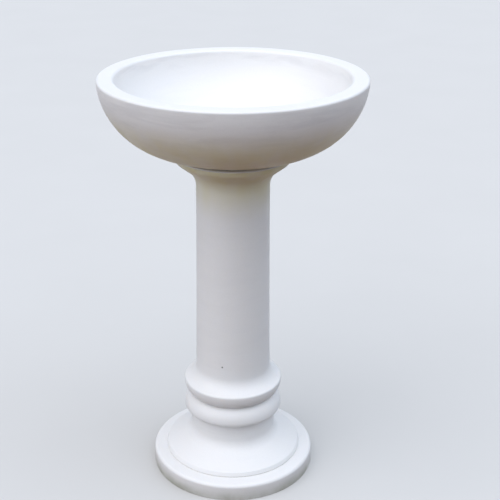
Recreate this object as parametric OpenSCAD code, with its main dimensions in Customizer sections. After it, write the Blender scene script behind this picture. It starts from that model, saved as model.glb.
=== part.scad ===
// Bird bath in turned white stone: a loose basin on a pedestal of four stones.
// Millimetres. The origin is the middle of the underside, and +Z is up the turning axis.

/* [Basin] */
// Radius of the side curve at its widest, just over the rim
rim_r = 250.6; // [235:0.2:265]
// Height from the turned foot to the top of the rim
basin_h = 144; // [140:1:150]
// Thickness of the wall and the floor, measured square to the surface
wall_t = 32.8; // [28:0.2:35]
// Radius of the curve that makes the side of the bowl
side_curve_r = 142.4; // [136:0.2:146]
// Radius of the flatter curve that makes the underside of the bowl
under_curve_r = 222; // [216:0.5:228]
// Angle below level at which the side curve runs into the underside curve
curve_join_a = 73; // [70:0.5:76]
// Height of the side curve's centre above the rim
side_centre_lift = 4.2; // [3:0.1:5]
// Height of the rim's outer edge, which is part of an ellipse
rim_edge_h = 4.5; // [4:0.5:12]
// Width of the rim's outer edge
rim_edge_w = 5; // [2:0.5:8]
// Radius of the rim's inner edge
rim_inner_round = 6; // [3:0.5:10]
// Radius of the low turned foot under the bowl
basin_foot_r = 80; // [70:1:84]

/* [Column] */
// Height from the joint under the collar to the top of the capital
column_h = 504.5; // [460:0.5:560]
// Radius of the shaft just under the capital
shaft_top_r = 71.2; // [66:0.2:74]
// Radius of the shaft just above the collar
shaft_foot_r = 75.4; // [75:0.2:80]
// Radius over the capital's lip
capital_r = 111; // [105:0.5:115]
// Height of the lip, down to where it would meet the flare
lip_h = 10; // [8:0.5:14]
// Slope of the flare under the lip, above level
flare_a = 38; // [30:1:45]
// Radius of the hollow where the flare meets the shaft
flare_hollow_r = 40; // [15:1:45]
// Radius that softens the lower edge of the lip
lip_round = 10; // [4:0.5:12]
// Radius over the collar
collar_r = 99.8; // [97:0.2:104]
// Height of the collar's widest point above the joint
collar_mid_h = 26.2; // [22:0.1:28]
// Radius of the collar's upper nose
collar_nose_r = 4; // [2:0.5:14]
// Height of the top of the cove above the collar's widest point
cove_h = 31; // [28:0.5:40]

/* [Torus ring] */
// Height of the ring
torus_h = 43.5; // [38:0.5:50]
// Radius over the ring
torus_r = 99.4; // [97:0.2:104]
// Height of the ring's widest point above its underside
torus_mid_h = 12.5; // [8:0.5:18]

/* [Foot] */
// Height of the foot
foot_h = 82.5; // [78:0.5:95]
// Radius of the neck under the torus ring
neck_r = 86; // [82:0.5:88]
// Radius of the hollow between the neck and the cone
neck_hollow_r = 25; // [12:1:32]
// Slope of the cone, below level
cone_a = 30; // [24:1:34]
// Radius at the bottom of the step
step_r = 139; // [136:0.5:144]
// Height of the step
step_h = 8; // [5:0.5:10]
// How far the face of the step leans in
step_lean = 2.5; // [1:0.5:5]
// Radius of the step's upper edge
step_round = 3.5; // [2:0.5:5]

/* [Plinth] */
// Thickness at the joint with the foot
plinth_h = 36; // [32:0.5:44]
// Radius of the plinth
plinth_r = 165.5; // [160:0.5:175]
// Fall of the ledge from the step to the outer edge
ledge_fall = 2; // [0.5:0.5:4]
// Radius of the plinth's upper edge
plinth_round = 7; // [3:0.5:9]

/* [Joints between stones] */
// Thickness of each mortar bed
bed_t = 1.5; // [1:0.5:3]
// Thickness of the rubber seating ring under the basin
seat_t = 5; // [3:0.5:6]
// Inner radius of the seating ring
seat_inner_r = 50; // [30:1:60]
// Outer radius of the seating ring
seat_outer_r = 78; // [68:0.5:78]

/* [Basin dowel] */
// Radius of the dowel
dowel_r = 8; // [6:0.5:10]
// Depth of the dowel in the column
dowel_set = 50; // [40:1:70]
// Length of the dowel that stands into the basin's socket
dowel_entry = 19; // [15:1:20]
// Gap between the dowel and the wall of the socket, wide enough to set the basin a little off centre
socket_gap = 12; // [2:0.5:14]
// Gap between the top of the dowel and the end of the socket
socket_end_gap = 3; // [2:0.5:4]
// Thickness of the resin round the dowel
resin_t = 3.5; // [2:0.5:5]

/* [Tie rod] */
// Radius of the rod
rod_r = 8; // [6:0.5:8]
// Length of the rod in the column
rod_set = 120; // [80:5:180]
// Radius of the hole for the rod through ring, foot and plinth
rod_way_r = 10; // [9.5:0.5:12]
// Depth of the recess in the plinth's underside
recess_d = 24; // [23:0.5:26]
// Radius of the recess
recess_r = 36; // [34:0.5:44]
// Radius of the spreader washer
spreader_r = 30; // [24:0.5:32]
// Thickness of the spreader washer
spreader_t = 4; // [3:0.5:5]
// Width of the nut across its flats
nut_flats = 24; // [22:0.5:26]
// Height of the nut
nut_h = 13; // [10:0.5:13]

/* [Hidden] */

// Levels of the joints, from the ground up
foot_z = plinth_h + bed_t;
torus_z = foot_z + foot_h + bed_t;
column_z = torus_z + torus_h + bed_t;
capital_z = column_z + column_h;
basin_z = capital_z + seat_t;

// How much the mortar is raked back from the stone's edge beside the ring, and struck back under the foot
bed_rake = 1;
struck_back = 0.3;
// Small round on edges that are only broken, and the chamfer on the metal pieces
arris = 1.5;
metal_chamfer = 1.5;
// Thickness of resin under the end of the dowel and over the end of the rod
resin_end_t = 5;
// How far the resin stays below the stone round it
resin_shy = 1;
rod_hole_r = rod_r + 3;
dowel_hole_r = dowel_r + resin_t;

// Rod end, nut and washers, measured down from the recess's roof
spring_t = 3.5;
spring_r = rod_r + 5.5;
spring_gap_w = 3;
rod_end_z = recess_d - spreader_t - spring_t - nut_h - 1.5;
washer_clear = 0.5;

// Angle step of every drawn arc, and the sides of every full turn
arc_step = 4;
turn_fn = 128;
small_fn = 48;
// Overlap of every cutting tool past the face that it opens
cut = 1;

// The collar's lower half and both halves of the torus ring are parts of ellipses
collar_under_w = 20;
collar_under_h = 28.8;
torus_over_w = 27;
torus_under_w = 16;

shaft_steps = 8;
shaft_ease = 1.6;

stone = [0.94, 0.94, 0.95];
mortar = [0.88, 0.87, 0.85];
resin = [0.78, 0.72, 0.58];
rubber = [0.12, 0.12, 0.12];
steel = [0.72, 0.73, 0.75];

function unit(v) = v / norm(v);
function turned(v, a) = [v.x * cos(a) - v.y * sin(a), v.x * sin(a) + v.y * cos(a)];

// Points along a stretch of an ellipse with half-axes w and h, from angle a0 to a1
function bow(centre, w, h, a0, a1) =
    let (steps = max(1, ceil(abs(a1 - a0) / arc_step)))
    [for (i = [0 : steps]) let (a = a0 + (a1 - a0) * i / steps) centre + [w * cos(a), h * sin(a)]];

// Points along a circular arc
function arc(centre, r, a0, a1) = bow(centre, r, r, a0, a1);

// The arc of radius r that rounds the corner at b, between a and c
function rounded_corner(a, b, c, r) =
    let (
        u = unit(a - b),
        v = unit(c - b),
        half = acos(u * v) / 2,
        centre = b + unit(u + v) * r / sin(half),
        from = b + u * r / tan(half) - centre,
        to = b + v * r / tan(half) - centre,
        bend = (180 - 2 * half) * sign(cross(from, to)),
        steps = max(2, ceil(abs(bend) / arc_step))
    )
    [for (i = [0 : steps]) centre + turned(from, bend * i / steps)];

// A closed outline from points [radius, height, corner radius]
function outline(corners) =
    let (n = len(corners), at = [for (p = corners) [p[0], p[1]]])
    [for (i = [0 : n - 1])
        each (corners[i][2] == 0
            ? [at[i]]
            : rounded_corner(at[(i + n - 1) % n], at[i], at[(i + 1) % n], corners[i][2]))];

module turning(points) {
    rotate_extrude($fn = turn_fn) polygon(points);
}

module drill(r, z0, z1, fn = small_fn) {
    translate([0, 0, z0]) cylinder(r = r, h = z1 - z0, $fn = fn);
}

// The profile of the basin, drawn from its turned foot at height 0
function basin_profile() =
    let (
        side = [rim_r - side_curve_r, basin_h + side_centre_lift],
        under = side + (side_curve_r - under_curve_r) * [cos(curve_join_a), -sin(curve_join_a)],
        underside_z = under.y - under_curve_r,
        // The outer edge starts where the side curve comes within its height of the top
        edge_a = -asin((side_centre_lift + rim_edge_h) / side_curve_r),
        edge = [side.x + side_curve_r * cos(edge_a) - rim_edge_w, basin_h - rim_edge_h],
        // The inner edge touches the curve of the inner wall
        inner_reach = side_curve_r - wall_t + rim_inner_round,
        inner_drop = side_centre_lift + rim_inner_round,
        inner_a = -asin(inner_drop / inner_reach)
    )
    concat(
        [[0, 0], [basin_foot_r, 0], [basin_foot_r, underside_z]],
        arc(under, under_curve_r, -90, -curve_join_a),
        arc(side, side_curve_r, -curve_join_a + arc_step, edge_a),
        bow(edge, rim_edge_w, rim_edge_h, 2 * arc_step, 90),
        arc(side + inner_reach * [cos(inner_a), sin(inner_a)], rim_inner_round, 90, 180 + inner_a),
        arc(side, side_curve_r - wall_t, inner_a - arc_step, -curve_join_a),
        arc(under, under_curve_r - wall_t, -curve_join_a - arc_step / 2, -90),
        [[0, under.y - under_curve_r + wall_t]]
    );

module basin() {
    color(stone) translate([0, 0, basin_z])
        difference() {
            turning(basin_profile());
            drill(dowel_r + socket_gap, -cut, dowel_entry + socket_end_gap);
        }
}

module seating_ring() {
    color(rubber) translate([0, 0, capital_z])
        turning([[seat_inner_r, 0], [seat_outer_r, 0], [seat_outer_r, seat_t], [seat_inner_r, seat_t]]);
}

// A round bar from z0 to z1 with a chamfer on both ends
module bar(r, z0, z1) {
    rotate_extrude($fn = small_fn) polygon([
        [0, z0], [r - metal_chamfer, z0], [r, z0 + metal_chamfer],
        [r, z1 - metal_chamfer], [r - metal_chamfer, z1], [0, z1]
    ]);
}

module basin_dowel() {
    color(steel) bar(dowel_r, capital_z - dowel_set, basin_z + dowel_entry);
}

module dowel_resin() {
    color(resin) difference() {
        drill(dowel_hole_r, capital_z - dowel_set - resin_end_t, capital_z - resin_shy);
        bar(dowel_r, capital_z - dowel_set, basin_z + dowel_entry);
    }
}

// The flared capital, the shaft and the collar, drawn from the joint under the collar
function column_profile() =
    let (
        // The cove and the collar's nose are two circles that touch
        gap = collar_r - shaft_foot_r,
        reach = (cove_h * cove_h + gap * gap) / (2 * gap),
        cove_r = reach - collar_nose_r,
        nose = [collar_r - collar_nose_r, collar_mid_h],
        cove = [shaft_foot_r + cove_r, collar_mid_h + cove_h],
        touch_a = atan2(cove.y - nose.y, cove.x - nose.x),
        under_a = -asin(collar_mid_h / collar_under_h),
        // The hollow touches the shaft and the flare
        flare_foot = [shaft_top_r, column_h - lip_h - (capital_r - shaft_top_r) * tan(flare_a)],
        hollow = flare_foot + flare_hollow_r * [1, tan(flare_a) - 1 / cos(flare_a)],
        lip_foot = [capital_r, column_h - lip_h],
        lip_top = [capital_r, column_h],
        lip = rounded_corner(flare_foot, lip_foot, lip_top, lip_round),
        edge = rounded_corner(lip_foot, lip_top, [0, column_h], arris * 2)
    )
    concat(
        [[0, 0]],
        bow([collar_r - collar_under_w, collar_mid_h], collar_under_w, collar_under_h, under_a, 0),
        arc(nose, collar_nose_r, arc_step, touch_a),
        arc(cove, cove_r, 180 + touch_a - arc_step, 180),
        // The shaft's radius eases from foot to top
        [for (i = [1 : shaft_steps - 1])
            let (t = i / shaft_steps)
            [shaft_top_r + (shaft_foot_r - shaft_top_r) * pow(1 - t, shaft_ease),
             cove.y + (hollow.y - cove.y) * t]],
        arc(hollow, flare_hollow_r, 180, 90 + flare_a),
        lip, edge,
        [[0, column_h]]
    );

module column() {
    color(stone) translate([0, 0, column_z])
        difference() {
            turning(column_profile());
            drill(dowel_hole_r, column_h - dowel_set - resin_end_t, column_h + cut);
            drill(rod_hole_r, -cut, rod_set + resin_end_t);
        }
}

// A mortar bed with the tie rod's way through it
module bed(r, z) {
    color(mortar) difference() {
        drill(r, z, z + bed_t, turn_fn);
        drill(rod_way_r, z - cut, z + bed_t + cut);
    }
}

torus_top_r = torus_r - torus_over_w;
torus_foot_r = torus_r - torus_under_w;

module collar_bed() { bed(torus_top_r - bed_rake, torus_z + torus_h); }
module torus_bed() { bed(torus_foot_r - bed_rake, foot_z + foot_h); }
module foot_bed() { bed(step_r - struck_back, plinth_h); }

module torus_ring() {
    color(stone) translate([0, 0, torus_z])
        difference() {
            turning(concat(
                [[0, 0]],
                bow([torus_foot_r, torus_mid_h], torus_under_w, torus_mid_h, -90, 0),
                bow([torus_top_r, torus_mid_h], torus_over_w, torus_h - torus_mid_h, arc_step, 90),
                [[0, torus_h]]
            ));
            drill(rod_way_r, -cut, torus_h + cut);
        }
}

// The foot, drawn from the joint at the foot of the step
function foot_profile() =
    let (
        cone_foot_r = step_r - step_lean,
        cone_meets_neck_z = step_h + (cone_foot_r - neck_r) * tan(cone_a)
    )
    outline([
        [0, 0, 0], [step_r, 0, 0], [step_r, arris, arris / 2], [cone_foot_r, step_h, step_round],
        [neck_r, cone_meets_neck_z, neck_hollow_r], [neck_r, foot_h, arris], [0, foot_h, 0]
    ]);

module foot() {
    color(stone) translate([0, 0, foot_z])
        difference() {
            turning(foot_profile());
            drill(rod_way_r, -cut, foot_h + cut);
        }
}

module plinth() {
    color(stone) difference() {
        turning(outline([
            [0, 0, 0], [plinth_r, 0, arris], [plinth_r, plinth_h - ledge_fall, plinth_round],
            [step_r, plinth_h, 0], [0, plinth_h, 0]
        ]));
        drill(recess_r, -cut, recess_d, turn_fn);
        drill(rod_way_r, recess_d - cut, plinth_h + cut);
    }
}

module tie_rod() {
    color(steel) bar(rod_r, rod_end_z, column_z + rod_set);
}

module tie_rod_resin() {
    color(resin) difference() {
        drill(rod_hole_r, column_z + resin_shy, column_z + rod_set + resin_end_t);
        bar(rod_r, rod_end_z, column_z + rod_set);
    }
}

module washer(r, z, t) {
    difference() {
        drill(r, z, z + t);
        drill(rod_r + washer_clear, z - cut, z + t + cut);
    }
}

module spreader_washer() {
    color(steel) washer(spreader_r, recess_d - spreader_t, spreader_t);
}

module spring_washer() {
    z = recess_d - spreader_t - spring_t;
    color(steel) difference() {
        washer(spring_r, z, spring_t);
        translate([0, -spring_gap_w / 2, z - cut]) cube([spring_r + cut, spring_gap_w, spring_t + 2 * cut]);
    }
}

module tie_rod_nut() {
    z = recess_d - spreader_t - spring_t - nut_h;
    corner_r = nut_flats / sqrt(3);
    color(steel) difference() {
        intersection() {
            translate([0, 0, z]) cylinder(r = corner_r, h = nut_h, $fn = 6);
            bar(corner_r + metal_chamfer / 3, z, z + nut_h);
        }
        drill(rod_r, z - cut, z + nut_h + cut);
    }
}

plinth();
foot_bed();
foot();
torus_bed();
torus_ring();
collar_bed();
column();
tie_rod();
tie_rod_resin();
spreader_washer();
spring_washer();
tie_rod_nut();
basin_dowel();
dowel_resin();
seating_ring();
basin();
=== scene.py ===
"""Looks of the bird bath in turned white marble. Metres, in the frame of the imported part."""

import math

import bpy
import numpy as np
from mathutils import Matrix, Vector, noise


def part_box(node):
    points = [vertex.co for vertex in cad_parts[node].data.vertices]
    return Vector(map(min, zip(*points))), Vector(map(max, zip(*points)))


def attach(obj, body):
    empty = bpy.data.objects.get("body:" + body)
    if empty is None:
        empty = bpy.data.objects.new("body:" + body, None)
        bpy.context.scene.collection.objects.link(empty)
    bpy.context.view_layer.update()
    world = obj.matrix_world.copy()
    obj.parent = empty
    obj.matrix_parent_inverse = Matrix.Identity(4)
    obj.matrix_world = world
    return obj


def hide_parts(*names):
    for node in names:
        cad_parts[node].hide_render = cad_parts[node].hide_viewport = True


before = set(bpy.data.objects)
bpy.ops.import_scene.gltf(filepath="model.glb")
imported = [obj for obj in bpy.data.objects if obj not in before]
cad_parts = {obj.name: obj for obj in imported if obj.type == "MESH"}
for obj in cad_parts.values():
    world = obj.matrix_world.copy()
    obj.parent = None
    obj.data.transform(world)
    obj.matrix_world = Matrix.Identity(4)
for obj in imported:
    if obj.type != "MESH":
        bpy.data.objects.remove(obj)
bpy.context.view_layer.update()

MM = 0.001
TURN = 2 * math.pi

# How far a mesh point may lie off the seam of a turned surface, and the grid on which seam points are matched
ON_SEAM = 2e-6
SEAM_DIGITS = 6
# A bend sharper than this is a corner, which gets a small round and a point close beside it
CORNER = math.radians(20)
ROUND_STEPS = 5
BESIDE_ROUND = 0.01 * MM
# A point of an outline nearer to the axis than this lies on it
ON_AXIS = 1e-7


# ---------------------------------------------------------------- outlines of turned pieces

def seam_outline(node):
    """The outline of a turned CAD node as (points, closed), in radii and heights along the seam.
    None where the mesh has no clean seam to follow."""
    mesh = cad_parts[node].data
    links = {}
    for edge in mesh.edges:
        ends = [mesh.vertices[i].co for i in edge.vertices]
        if all(abs(p.y) < ON_SEAM and p.x > -ON_SEAM for p in ends):
            a, b = [(round(p.x, SEAM_DIGITS), round(p.z, SEAM_DIGITS)) for p in ends]
            if a != b:
                links.setdefault(a, set()).add(b)
                links.setdefault(b, set()).add(a)
    loose = [p for p in links if len(links[p]) == 1]
    if not links or len(loose) not in (0, 2) or any(len(near) > 2 for near in links.values()):
        return None
    here = min(loose or links, key=lambda p: (p[1], p[0]))
    walk = [here]
    while True:
        onward = sorted(p for p in links[here] if p not in walk)
        if not onward:
            break
        here = onward[-1]
        walk.append(here)
    if len(walk) != len(links):
        return None
    if loose:
        walk = [(0.0, walk[0][1])] + walk + [(0.0, walk[-1][1])]
    return [np.array(p) for p in walk], not loose


def turn_at(before, here, after):
    """The angle by which a line through three points bends."""
    u, v = here - before, after - here
    return abs(math.atan2(u[0] * v[1] - u[1] * v[0], u @ v))


def rounded(points, closed, radius):
    """The outline with every corner rounded, and a point beside each round that keeps its shading short."""
    out = []
    for i, here in enumerate(points):
        if not closed and i in (0, len(points) - 1):
            out.append(here)
            continue
        before, after = points[i - 1], points[(i + 1) % len(points)]
        bend = turn_at(before, here, after)
        if bend < CORNER:
            out.append(here)
            continue
        u, v = before - here, after - here
        room = 0.4 * min(np.linalg.norm(u), np.linalg.norm(v))
        u, v = u / np.linalg.norm(u), v / np.linalg.norm(v)
        setback = min(radius * math.tan(bend / 2), room)
        r = setback / math.tan(bend / 2)
        centre = here + (u + v) / np.linalg.norm(u + v) * r / math.cos(bend / 2)
        first, last = here + u * setback - centre, here + v * setback - centre
        out.append(centre + first + u * min(setback, room - setback + BESIDE_ROUND))
        for k in range(ROUND_STEPS + 1):
            t = k / ROUND_STEPS
            spoke = first * math.sin((1 - t) * bend) + last * math.sin(t * bend)
            out.append(centre + spoke / math.sin(bend))
        out.append(centre + last + v * min(setback, room - setback + BESIDE_ROUND))
    return out


def refined(points, closed, step):
    """The outline with long stretches divided, along curves that pass smoothly through its points."""
    n = len(points)
    count = n if closed else n - 1
    out = []
    for i in range(count):
        a, b = points[i], points[(i + 1) % n]
        span = np.linalg.norm(b - a)
        parts = max(1, math.ceil(span / step))
        ends = []
        for here, away in ((i, -1), (i + 1, 1)):
            inner = closed or 0 < here < n - 1
            p = points[here % n]
            before, after = points[(here - 1) % n], points[(here + 1) % n]
            along = (b - a) / span
            if inner and turn_at(before, p, after) < CORNER:
                along = (after - before) / np.linalg.norm(after - before)
            ends.append(along * span)
        for k in range(parts):
            t = k / parts
            h = (2 * t**3 - 3 * t**2 + 1, t**3 - 2 * t**2 + t, -2 * t**3 + 3 * t**2, t**3 - t**2)
            out.append(h[0] * a + h[1] * ends[0] + h[2] * b + h[3] * ends[1])
    if not closed:
        out.append(points[-1])
    return out


def even_turn(count):
    return [TURN * k / count for k in range(count)]


def lathe(name, points, closed, angles, shift=None):
    """A turned mesh. shift(place, outward, along) says how far each point moves: outward is its normal, and
    along is how far it lies along the outline."""
    segments = len(angles)
    rows = np.array(points)
    rows[np.abs(rows[:, 0]) < ON_AXIS, 0] = 0.0
    n = len(rows)
    step = np.roll(rows, -1, 0) - np.roll(rows, 1, 0)
    if not closed:
        step[0] = rows[1] - rows[0]
        step[-1] = rows[-1] - rows[-2]
    step /= np.linalg.norm(step, axis=1)[:, None]
    # The walk keeps the material on one side: the signed area says which
    area = np.sum(rows[:, 0] * np.roll(rows[:, 1], -1) - np.roll(rows[:, 0], -1) * rows[:, 1])
    side = 1 if area > 0 else -1
    normals = np.stack([step[:, 1], -step[:, 0]], 1) * side
    lengths = np.linalg.norm(np.diff(rows, axis=0), axis=1)
    along = np.concatenate([[0.0], np.cumsum(lengths)])
    verts, ring = [], []
    for (r, z), (nr, nz), distance in zip(rows, normals, along):
        turns = 1 if r == 0 else segments
        ring.append((len(verts), turns))
        for a in angles[:turns]:
            place = Vector((r * math.cos(a), r * math.sin(a), z))
            outward = Vector((nr * math.cos(a), nr * math.sin(a), nz))
            if shift is not None and turns > 1:
                place += shift(place, outward, distance)
            verts.append(place)
    faces = []
    for i in range(n if closed else n - 1):
        (a0, na), (b0, nb) = ring[i], ring[(i + 1) % n]
        if na == nb == 1:
            continue
        for k in range(segments):
            k1 = (k + 1) % segments
            if na == 1:
                face = (a0, b0 + k1, b0 + k)
            elif nb == 1:
                face = (a0 + k, a0 + k1, b0)
            else:
                face = (a0 + k, a0 + k1, b0 + k1, b0 + k)
            faces.append(face if side > 0 else face[::-1])
    mesh = bpy.data.meshes.new(name)
    mesh.from_pydata(verts, [], faces)
    mesh.polygons.foreach_set("use_smooth", [True] * len(mesh.polygons))
    mesh.update()
    piece = bpy.data.objects.new(name, mesh)
    bpy.context.scene.collection.objects.link(piece)
    return piece


def keep_cad(node, material):
    """The CAD node keeps its own mesh and gets a better material."""
    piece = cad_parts[node]
    piece.data.materials.clear()
    piece.data.materials.append(material)
    return piece


def stand_for(piece, node, body, material):
    piece.data.materials.append(material)
    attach(piece, body)
    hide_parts(node)
    return piece


# ---------------------------------------------------------------- materials

def srgb(*channels):
    """A colour given as a screen shows it, in linear light."""
    return tuple(c / 12.92 if c <= 0.04045 else ((c + 0.055) / 1.055) ** 2.4 for c in channels) + (1.0,)


class Nodes:
    """A short way to write a node tree."""

    def __init__(self, name):
        self.material = bpy.data.materials.new(name)
        self.material.use_nodes = True
        self.tree = self.material.node_tree
        self.shader = self.tree.nodes["Principled BSDF"]
        self.place = self.add("ShaderNodeTexCoord").outputs["Object"]

    def add(self, kind, inputs=None, **settings):
        node = self.tree.nodes.new(kind)
        for key, value in settings.items():
            setattr(node, key, value)
        for key, value in (inputs or {}).items():
            self.put(node.inputs[key], value)
        return node

    def put(self, socket, value):
        if isinstance(value, bpy.types.NodeSocket):
            self.tree.links.new(value, socket)
        else:
            socket.default_value = value

    def vector(self, operation, a, b):
        return self.add("ShaderNodeVectorMath", {0: a, 1: b}, operation=operation).outputs[0]

    def noise(self, scale, detail=3.0, rough=0.5, seed=0.0, distort=0.0, stretch=None):
        place = self.vector("MULTIPLY", self.place, stretch) if stretch else self.place
        return self.add(
            "ShaderNodeTexNoise",
            {
                "Vector": self.vector("ADD", place, (seed, seed * 0.7, seed * 1.3)),
                "Scale": scale,
                "Detail": detail,
                "Roughness": rough,
                "Distortion": distort,
            },
        ).outputs["Fac"]

    def remap(self, value, low, high, to_low=0.0, to_high=1.0):
        return self.add(
            "ShaderNodeMapRange",
            {"Value": value, "From Min": low, "From Max": high, "To Min": to_low, "To Max": to_high},
            interpolation_type="SMOOTHSTEP",
        ).outputs["Result"]

    def math(self, operation, a, b=0.0):
        return self.add("ShaderNodeMath", {0: a, 1: b}, operation=operation).outputs[0]

    def mix(self, factor, a, b):
        node = self.add("ShaderNodeMix", data_type="RGBA")
        self.put(node.inputs["Factor"], factor)
        self.put(node.inputs[6], a)
        self.put(node.inputs[7], b)
        return node.outputs[2]

    def bump(self, height, strength, distance, under=None):
        inputs = {"Height": height, "Strength": strength, "Distance": distance}
        if under is not None:
            inputs["Normal"] = under
        return self.add("ShaderNodeBump", inputs).outputs["Normal"]


MARBLE_WHITE = srgb(0.895, 0.89, 0.885)
MARBLE_GREY = srgb(0.815, 0.81, 0.81)
MARBLE_GRAIN = srgb(0.80, 0.80, 0.79)
UNDER_BOWL_WARM_SHADE = srgb(0.86, 0.83, 0.61)
SOIL_AND_SHADE = srgb(0.50, 0.51, 0.42)
PIT_DARK = srgb(0.24, 0.23, 0.20)

# The painted warm shade under the bowl grows over the first stretch, below the seam, and fades out over the
# second, above it
SHADE_BELOW_SEAM = (0.125, 0.015)
SHADE_ABOVE_SEAM = (0.04, 0.12)
SOIL_AND_SHADE_HEIGHT = 0.03
# How much longer the streaks are round the stone than they are high
STREAK_STRETCH = 6.0
# The share of the streaks that is left on faces that look up
STREAKS_ON_TOP = 0.25


def marble(name, streaks, seed, pit=None):
    """Honed white marble with a fine grain and faint grey streaks, painted warm shade under the bowl, and
    soil with painted shade near the ground.
    """
    m = Nodes(name)
    grain = m.noise(420.0, 2.0, 0.6, seed)
    facing = m.add("ShaderNodeSeparateXYZ", {0: m.add("ShaderNodeTexCoord").outputs["Normal"]}).outputs["Z"]
    # 1 on walls and undersides, 0 on faces that look up, such as the floor of the bowl
    outside = m.remap(facing, 0.1, 0.4, 1.0, 0.0)
    height = m.add("ShaderNodeSeparateXYZ", {0: m.place}).outputs["Z"]
    colour = m.mix(grey_streaks(m, outside, streaks, seed), MARBLE_WHITE, MARBLE_GREY)
    colour = m.mix(m.remap(grain, 0.35, 0.75, 0.0, 0.10), colour, MARBLE_GRAIN)
    # Painted warm shade under the bowl, on walls and undersides only
    colour = m.mix(m.math("MULTIPLY", painted_under_bowl_shade(m, height, seed), outside), colour, UNDER_BOWL_WARM_SHADE)
    # Soil and algae near the ground, with painted shade on the lowest stretch
    colour = m.mix(soil_and_painted_shade(m, height, seed), colour, SOIL_AND_SHADE)
    if pit is not None:
        # The pit is coloured dark
        reach = m.add("ShaderNodeVectorMath", {0: m.place, 1: pit}, operation="DISTANCE").outputs["Value"]
        pit_darkening = m.remap(reach, PIT_RADIUS * 0.75, PIT_RADIUS * 1.15, 0.85, 0.0)
        colour = m.mix(pit_darkening, colour, PIT_DARK)
    m.put(m.shader.inputs["Base Color"], colour)
    m.put(m.shader.inputs["Roughness"], m.remap(m.noise(22.0, 3.0, 0.5, seed), 0.3, 0.7, 0.42, 0.56))
    m.shader.inputs["Subsurface Weight"].default_value = 0.15
    m.shader.inputs["Subsurface Radius"].default_value = (0.006, 0.005, 0.004)
    m.shader.inputs["Subsurface Scale"].default_value = 1.0
    soft = m.bump(m.noise(60.0, 3.0, 0.5, seed), 0.10, 0.002)
    m.put(m.shader.inputs["Normal"], m.bump(grain, 0.06, 0.0004, soft))
    return m.material


def grey_streaks(m, outside, strength, seed):
    """How grey the stone is in streaks that run round it."""
    clouds = m.remap(m.noise(9.0, 5.0, 0.6, seed, 0.4, (1.0, 1.0, STREAK_STRETCH)), 0.42, 0.68)
    left = m.math("MULTIPLY", m.remap(outside, 0.0, 1.0, STREAKS_ON_TOP, 1.0), strength)
    return m.math("MULTIPLY", clouds, left)


def painted_under_bowl_shade(m, height, seed):
    """How much painted warm shade the stone gets under the bowl, strongest around the seam and patchy in
    strength.
    """
    seam_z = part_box("seating_ring")[0].z
    below = m.remap(height, *(seam_z - d for d in SHADE_BELOW_SEAM), 0.0, 1.0)
    above = m.remap(height, *(seam_z + d for d in SHADE_ABOVE_SEAM), 1.0, 0.0)
    shade_patches = m.noise(26.0 + seed, 4.0, stretch=(1.0, 1.0, 0.3))
    return m.math("MULTIPLY", m.math("MULTIPLY", below, above), m.remap(shade_patches, 0.3, 0.7, 0.5, 0.75))


def soil_and_painted_shade(m, height, seed):
    """How much soil and algae, with painted shade, the stone has near the ground."""
    low = m.remap(height, 0.0, SOIL_AND_SHADE_HEIGHT, 1.0, 0.0)
    patches = m.remap(m.noise(13.0, 4.0, 0.6, seed), 0.3, 0.7, 0.35, 0.75)
    return m.math("MULTIPLY", low, patches)


def mortar_mix():
    """White adhesive mortar, matt and sandy."""
    m = Nodes("mortar")
    sand = m.noise(900.0, 3.0, 0.7)
    colour = m.mix(m.remap(sand, 0.3, 0.7), srgb(0.90, 0.89, 0.87), srgb(0.76, 0.75, 0.72))
    m.put(m.shader.inputs["Base Color"], colour)
    m.put(m.shader.inputs["Roughness"], m.remap(sand, 0.3, 0.7, 0.85, 0.95))
    m.put(m.shader.inputs["Normal"], m.bump(sand, 0.5, 0.0006))
    return m.material


def fixing_resin():
    """Cured fixing resin with fine filler and small bubbles."""
    m = Nodes("resin")
    filler = m.noise(500.0, 3.0, 0.6)
    bubbles = m.add("ShaderNodeTexVoronoi", {"Vector": m.place, "Scale": 320.0}).outputs["Distance"]
    colour = m.mix(m.remap(filler, 0.3, 0.7), srgb(0.80, 0.75, 0.62), srgb(0.70, 0.64, 0.50))
    m.put(m.shader.inputs["Base Color"], colour)
    m.put(m.shader.inputs["Roughness"], m.remap(filler, 0.3, 0.7, 0.38, 0.55))
    m.put(m.shader.inputs["Normal"], m.bump(m.remap(bubbles, 0.0, 0.25), 0.3, 0.0004))
    return m.material


def seat_rubber():
    """Black sheet rubber, with a dusty bloom and fine moulding marks."""
    m = Nodes("seat_rubber")
    bloom = m.remap(m.noise(45.0, 4.0, 0.6), 0.4, 0.75)
    dusty = m.mix(m.math("MULTIPLY", bloom, 0.5), srgb(0.15, 0.14, 0.12), srgb(0.34, 0.31, 0.25))
    m.put(m.shader.inputs["Base Color"], dusty)
    m.put(m.shader.inputs["Roughness"], m.remap(m.noise(120.0, 3.0), 0.3, 0.7, 0.62, 0.80))
    m.put(m.shader.inputs["Normal"], m.bump(m.noise(700.0, 2.0), 0.25, 0.0003))
    return m.material


def stainless():
    """Drawn stainless steel, with fine scratches along its length and dull patches."""
    m = Nodes("stainless_steel")
    lines = m.noise(2200.0, 2.0, stretch=(1.0, 1.0, 0.04))
    patches = m.noise(90.0, 3.0)
    colour = m.mix(m.remap(patches, 0.35, 0.7), srgb(0.80, 0.80, 0.79), srgb(0.71, 0.71, 0.69))
    m.put(m.shader.inputs["Base Color"], colour)
    m.shader.inputs["Metallic"].default_value = 1.0
    m.put(m.shader.inputs["Roughness"], m.remap(patches, 0.3, 0.7, 0.24, 0.40))
    m.put(m.shader.inputs["Normal"], m.bump(lines, 0.12, 0.0002))
    return m.material


MORTAR = mortar_mix()
RESIN = fixing_resin()
RUBBER = seat_rubber()
STEEL = stainless()


# ---------------------------------------------------------------- stones

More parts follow.
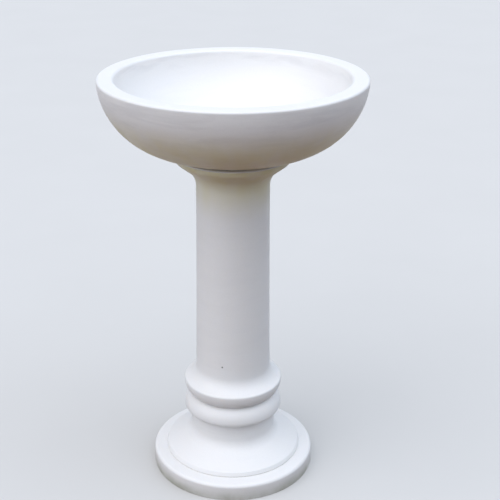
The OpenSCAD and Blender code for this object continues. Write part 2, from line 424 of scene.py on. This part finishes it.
# Turning and hand finishing leave shallow waves in the stone, and fine ridges that run round it. They only
# take stone away.
WAVE_DEPTH = 0.35 * MM
WAVE_SCALE = 14.0
RIDGE_LENGTH_SCALE = 11.0
RIDGE_WIDTH_SCALE = 75.0
# The waves fade out towards the faces on which stones bear
BEARING_FADE = 8 * MM
STONE_STEP = 3 * MM

# One small pit low on the shaft, on the side that faces the camera
PIT_RADIUS = 1.9 * MM
PIT_DEPTH = 0.9 * MM
PIT_HEIGHT = 0.25
PIT_ANGLE = math.radians(-106.6)


def hand_finish(bearings, seed, ridge_depth, pit=None):
    """How far the finish lowers each point of a stone whose bearing faces are at the heights in bearings."""
    offset = Vector((seed, 2.0 * seed, 0.5 * seed))

    def shift(place, outward, along):
        fade = 1.0
        for level in bearings:
            fade = min(fade, abs(place.z - level) / BEARING_FADE)
        wave = 0.5 + 0.5 * noise.noise(place * WAVE_SCALE + offset)
        flat = Vector((place.x * RIDGE_LENGTH_SCALE, place.y * RIDGE_LENGTH_SCALE, along * RIDGE_WIDTH_SCALE))
        ridge = 0.5 + 0.5 * noise.noise(flat + offset)
        depth = min(fade, 1.0) * (WAVE_DEPTH * wave + ridge_depth * ridge)
        if pit is not None:
            reach = (place - pit).length / PIT_RADIUS
            depth += PIT_DEPTH * max(0.0, 1.0 - reach * reach)
        return outward * -depth

    return shift


# Nothing of a stone's bore lies further out than this
BORE_REACH = 50 * MM


def closer_rows(points, low, high, step):
    """The outline with more points on the stretch between two heights that lies furthest out."""
    out = [points[0]]
    for a, b in zip(points, points[1:]):
        if a[0] > BORE_REACH and max(a[1], b[1]) > low and min(a[1], b[1]) < high:
            parts = math.ceil(np.linalg.norm(b - a) / step)
            out += [a + (b - a) * k / parts for k in range(1, parts)]
        out.append(b)
    return out


def stone(node, body, slot, streaks, seed, ridge_depth, segments=320, arris=1.2 * MM):
    """A finer turned mesh of a stone. seed makes its marble and its finish differ from the others'."""
    outline = seam_outline(node)
    if outline is None:
        return keep_cad(node, marble(slot, streaks, seed))
    points, closed = outline
    low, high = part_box(node)
    bearings = [low.z] if node == "basin" else [low.z, high.z]
    points = refined(rounded(points, closed, arris), closed, STONE_STEP)
    angles, pit = even_turn(segments), None
    if node == "column":
        radius = max(p[0] for p in points if abs(p[1] - PIT_HEIGHT) < 2 * STONE_STEP)
        pit = Vector((radius * math.cos(PIT_ANGLE), radius * math.sin(PIT_ANGLE), PIT_HEIGHT))
        spread = 2 * PIT_RADIUS
        points = closer_rows(points, PIT_HEIGHT - spread, PIT_HEIGHT + spread, PIT_RADIUS / 5)
        near = [PIT_ANGLE % TURN + spread / radius * k / 10 for k in range(-10, 11)]
        angles = sorted(angles + near)
    piece = lathe(node + "_marble", points, closed, angles, hand_finish(bearings, seed, ridge_depth, pit))
    return stand_for(piece, node, body, marble(slot, streaks, seed, pit))


stone("basin", "basin", "basin_stone", 0.45, 3.1, 0.26 * MM, segments=400)
stone("column", "pedestal", "column_stone", 0.08, 7.7, 0.06 * MM)
stone("torus_ring", "pedestal", "ring_stone", 0.2, 11.3, 0.06 * MM)
stone("foot", "pedestal", "foot_stone", 0.2, 5.9, 0.06 * MM, arris=0.4 * MM)
stone("plinth", "pedestal", "plinth_stone", 0.2, 9.4, 0.06 * MM)


# ---------------------------------------------------------------- beds, seat and resin

PLAIN_STEP = 4 * MM


def plain_turned(node, body, material, segments=128, arris=0.4 * MM, shift=None):
    """A finer turned mesh of a piece that isn't stone."""
    outline = seam_outline(node)
    if outline is None:
        return keep_cad(node, material)
    points, closed = outline
    points = refined(rounded(points, closed, arris), closed, PLAIN_STEP)
    piece = lathe(node + "_piece", points, closed, even_turn(segments), shift)
    return stand_for(piece, node, body, material)


SCRAPE_SCALE = 90.0


def scraped_edge(depth):
    """Mortar is scraped back unevenly between the stones, by up to depth."""

    def shift(place, outward, along):
        sideways = Vector((outward.x, outward.y, 0.0))
        return sideways * (-depth * (0.5 + 0.5 * noise.noise(place * SCRAPE_SCALE)))

    return shift


plain_turned("foot_bed", "pedestal", MORTAR, 320, arris=0.1 * MM, shift=scraped_edge(0.1 * MM))
plain_turned("torus_bed", "pedestal", MORTAR, segments=200, shift=scraped_edge(0.8 * MM))
plain_turned("collar_bed", "pedestal", MORTAR, segments=200, shift=scraped_edge(0.8 * MM))
plain_turned("dowel_resin", "pedestal", RESIN)
plain_turned("tie_rod_resin", "pedestal", RESIN)
plain_turned("seating_ring", "seat", RUBBER, segments=200, arris=1.0 * MM)
plain_turned("basin_dowel", "pedestal", STEEL, arris=0.3 * MM)
plain_turned("spreader_washer", "pedestal", STEEL)


# ---------------------------------------------------------------- threaded rod

THREAD_PITCH = 2 * MM
THREAD_DEPTH = 1.1 * MM
THREAD_ROWS = 6
THREAD_SEGMENTS = 48
END_CHAMFER = 1.5 * MM


def threaded_rod(node):
    """The rod with a helical groove cut into it and a chamfer at each end."""
    low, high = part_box(node)
    radius = (high.x - low.x) / 2
    rows = [np.array((0.0, low.z))]
    count = round((high.z - low.z) / THREAD_PITCH * THREAD_ROWS)
    rows += [np.array((radius, low.z + (high.z - low.z) * k / count)) for k in range(count + 1)]
    rows.append(np.array((0.0, high.z)))

    def shift(place, outward, along):
        angle = math.atan2(place.y, place.x) / TURN
        groove = abs(((place.z / THREAD_PITCH - angle) % 1.0) * 2 - 1)
        end = min(place.z - low.z, high.z - place.z)
        depth = max(groove * THREAD_DEPTH, END_CHAMFER - end)
        return Vector((place.x, place.y, 0.0)).normalized() * -depth

    return lathe("tie_rod_piece", rows, False, even_turn(THREAD_SEGMENTS), shift)


stand_for(threaded_rod("tie_rod"), "tie_rod", "pedestal", STEEL)
keep_cad("tie_rod_nut", STEEL)
keep_cad("spring_washer", STEEL)


# ---------------------------------------------------------------- floor, lights and camera

def floor_material():
    m = Nodes("studio_floor")
    colour = m.mix(m.noise(3.0, 3.0), srgb(0.80, 0.795, 0.785), srgb(0.785, 0.78, 0.77))
    m.put(m.shader.inputs["Base Color"], colour)
    m.shader.inputs["Roughness"].default_value = 0.9
    return m.material


FLOOR_HALF = 40.0


def floor():
    mesh = bpy.data.meshes.new("floor")
    corners = [(x * FLOOR_HALF, y * FLOOR_HALF, 0.0) for x, y in ((-1, -1), (1, -1), (1, 1), (-1, 1))]
    mesh.from_pydata(corners, [], [(0, 1, 2, 3)])
    mesh.materials.append(floor_material())
    piece = bpy.data.objects.new("floor", mesh)
    bpy.context.scene.collection.objects.link(piece)
    # The floor shows the shadow, but it throws no light up under the bowl, because grass is dark
    piece.visible_diffuse = False
    piece.visible_shadow = False


floor()

# Tints of the studio's lights: a white key, a cooler fill, and warm light off the ground
WHITE = (1.0, 1.0, 1.05)
COOL = (0.9, 1.0, 1.15)
WARM = (1.0, 0.3, 0.0)

# How fast a light fades away from its middle: a high and broad one, a low and narrower one, and the ground
BROAD = 4.0
NARROW = 6.0
GROUND_WIDE = 2.0

# Soft lights far off: azimuth from the front to the right and elevation in degrees, fading, strength and tint
STUDIO_LIGHTS = (
    ("key, high on the front left", -45, 50, BROAD, 2.3, WHITE),
    ("fill, high on the right", 75, 50, BROAD, 1.8, COOL),
    ("back", 180, 50, BROAD, 0.5, COOL),
    ("low left", -60, 15, NARROW, 0.9, COOL),
    ("low right", 90, 15, NARROW, 0.25, COOL),
    ("low back", 180, 15, NARROW, 0.6, COOL),
    ("ground", 0, -90, GROUND_WIDE, 0.25, WARM),
)

WALL = srgb(0.85, 0.855, 0.87)


def studio_light():
    world = bpy.data.worlds.new("studio")
    bpy.context.scene.world = world
    world.use_nodes = True
    tree = world.node_tree

    def add(kind, operation, *values):
        node = tree.nodes.new(kind)
        node.operation = operation
        for socket, value in zip(node.inputs, values):
            if isinstance(value, bpy.types.NodeSocket):
                tree.links.new(value, socket)
            else:
                socket.default_value = value
        return node

    direction = tree.nodes.new("ShaderNodeTexCoord").outputs["Generated"]
    total = (0.0, 0.0, 0.0)
    for _, azimuth, elevation, fading, strength, tint in STUDIO_LIGHTS:
        a, e = math.radians(azimuth), math.radians(elevation)
        axis = (math.sin(a) * math.cos(e), -math.cos(a) * math.cos(e), math.sin(e))
        facing = add("ShaderNodeVectorMath", "DOT_PRODUCT", direction, axis).outputs["Value"]
        ahead = add("ShaderNodeMath", "MAXIMUM", facing, 0.0).outputs[0]
        glow = add("ShaderNodeMath", "POWER", ahead, fading)
        light = tree.nodes.new("ShaderNodeVectorMath")
        light.operation = "SCALE"
        light.inputs[0].default_value = [strength * c for c in tint]
        tree.links.new(glow.outputs[0], light.inputs["Scale"])
        total = add("ShaderNodeVectorMath", "ADD", total, light.outputs[0]).outputs[0]
    tree.links.new(total, tree.nodes["Background"].inputs["Color"])
    # The camera sees a plain pale wall behind the floor, in place of the lights
    wall = tree.nodes.new("ShaderNodeBackground")
    wall.inputs["Color"].default_value = WALL
    seen = tree.nodes.new("ShaderNodeMixShader")
    tree.links.new(tree.nodes.new("ShaderNodeLightPath").outputs["Is Camera Ray"], seen.inputs["Fac"])
    tree.links.new(tree.nodes["Background"].outputs["Background"], seen.inputs[1])
    tree.links.new(wall.outputs["Background"], seen.inputs[2])
    tree.links.new(seen.outputs["Shader"], tree.nodes["World Output"].inputs["Surface"])


studio_light()

CAMERA_BACK = 1.8654
CAMERA_UP = 1.2665
CAMERA_PITCH = math.radians(23.352)
CAMERA_LENS = 74.416
CAMERA_SENSOR = 36.0
# The bird bath stands a little left of the picture's middle
CAMERA_SHIFT = (0.034, 0.011)


def camera():
    data = bpy.data.cameras.new("camera")
    data.sensor_width = CAMERA_SENSOR
    data.lens = CAMERA_LENS
    data.shift_x, data.shift_y = CAMERA_SHIFT
    view = bpy.data.objects.new("camera", data)
    view.location = (0.0, -CAMERA_BACK, CAMERA_UP)
    view.rotation_euler = (math.pi / 2 - CAMERA_PITCH, 0.0, 0.0)
    bpy.context.scene.collection.objects.link(view)
    bpy.context.scene.camera = view


camera()
bpy.context.scene.view_settings.view_transform = "Standard"
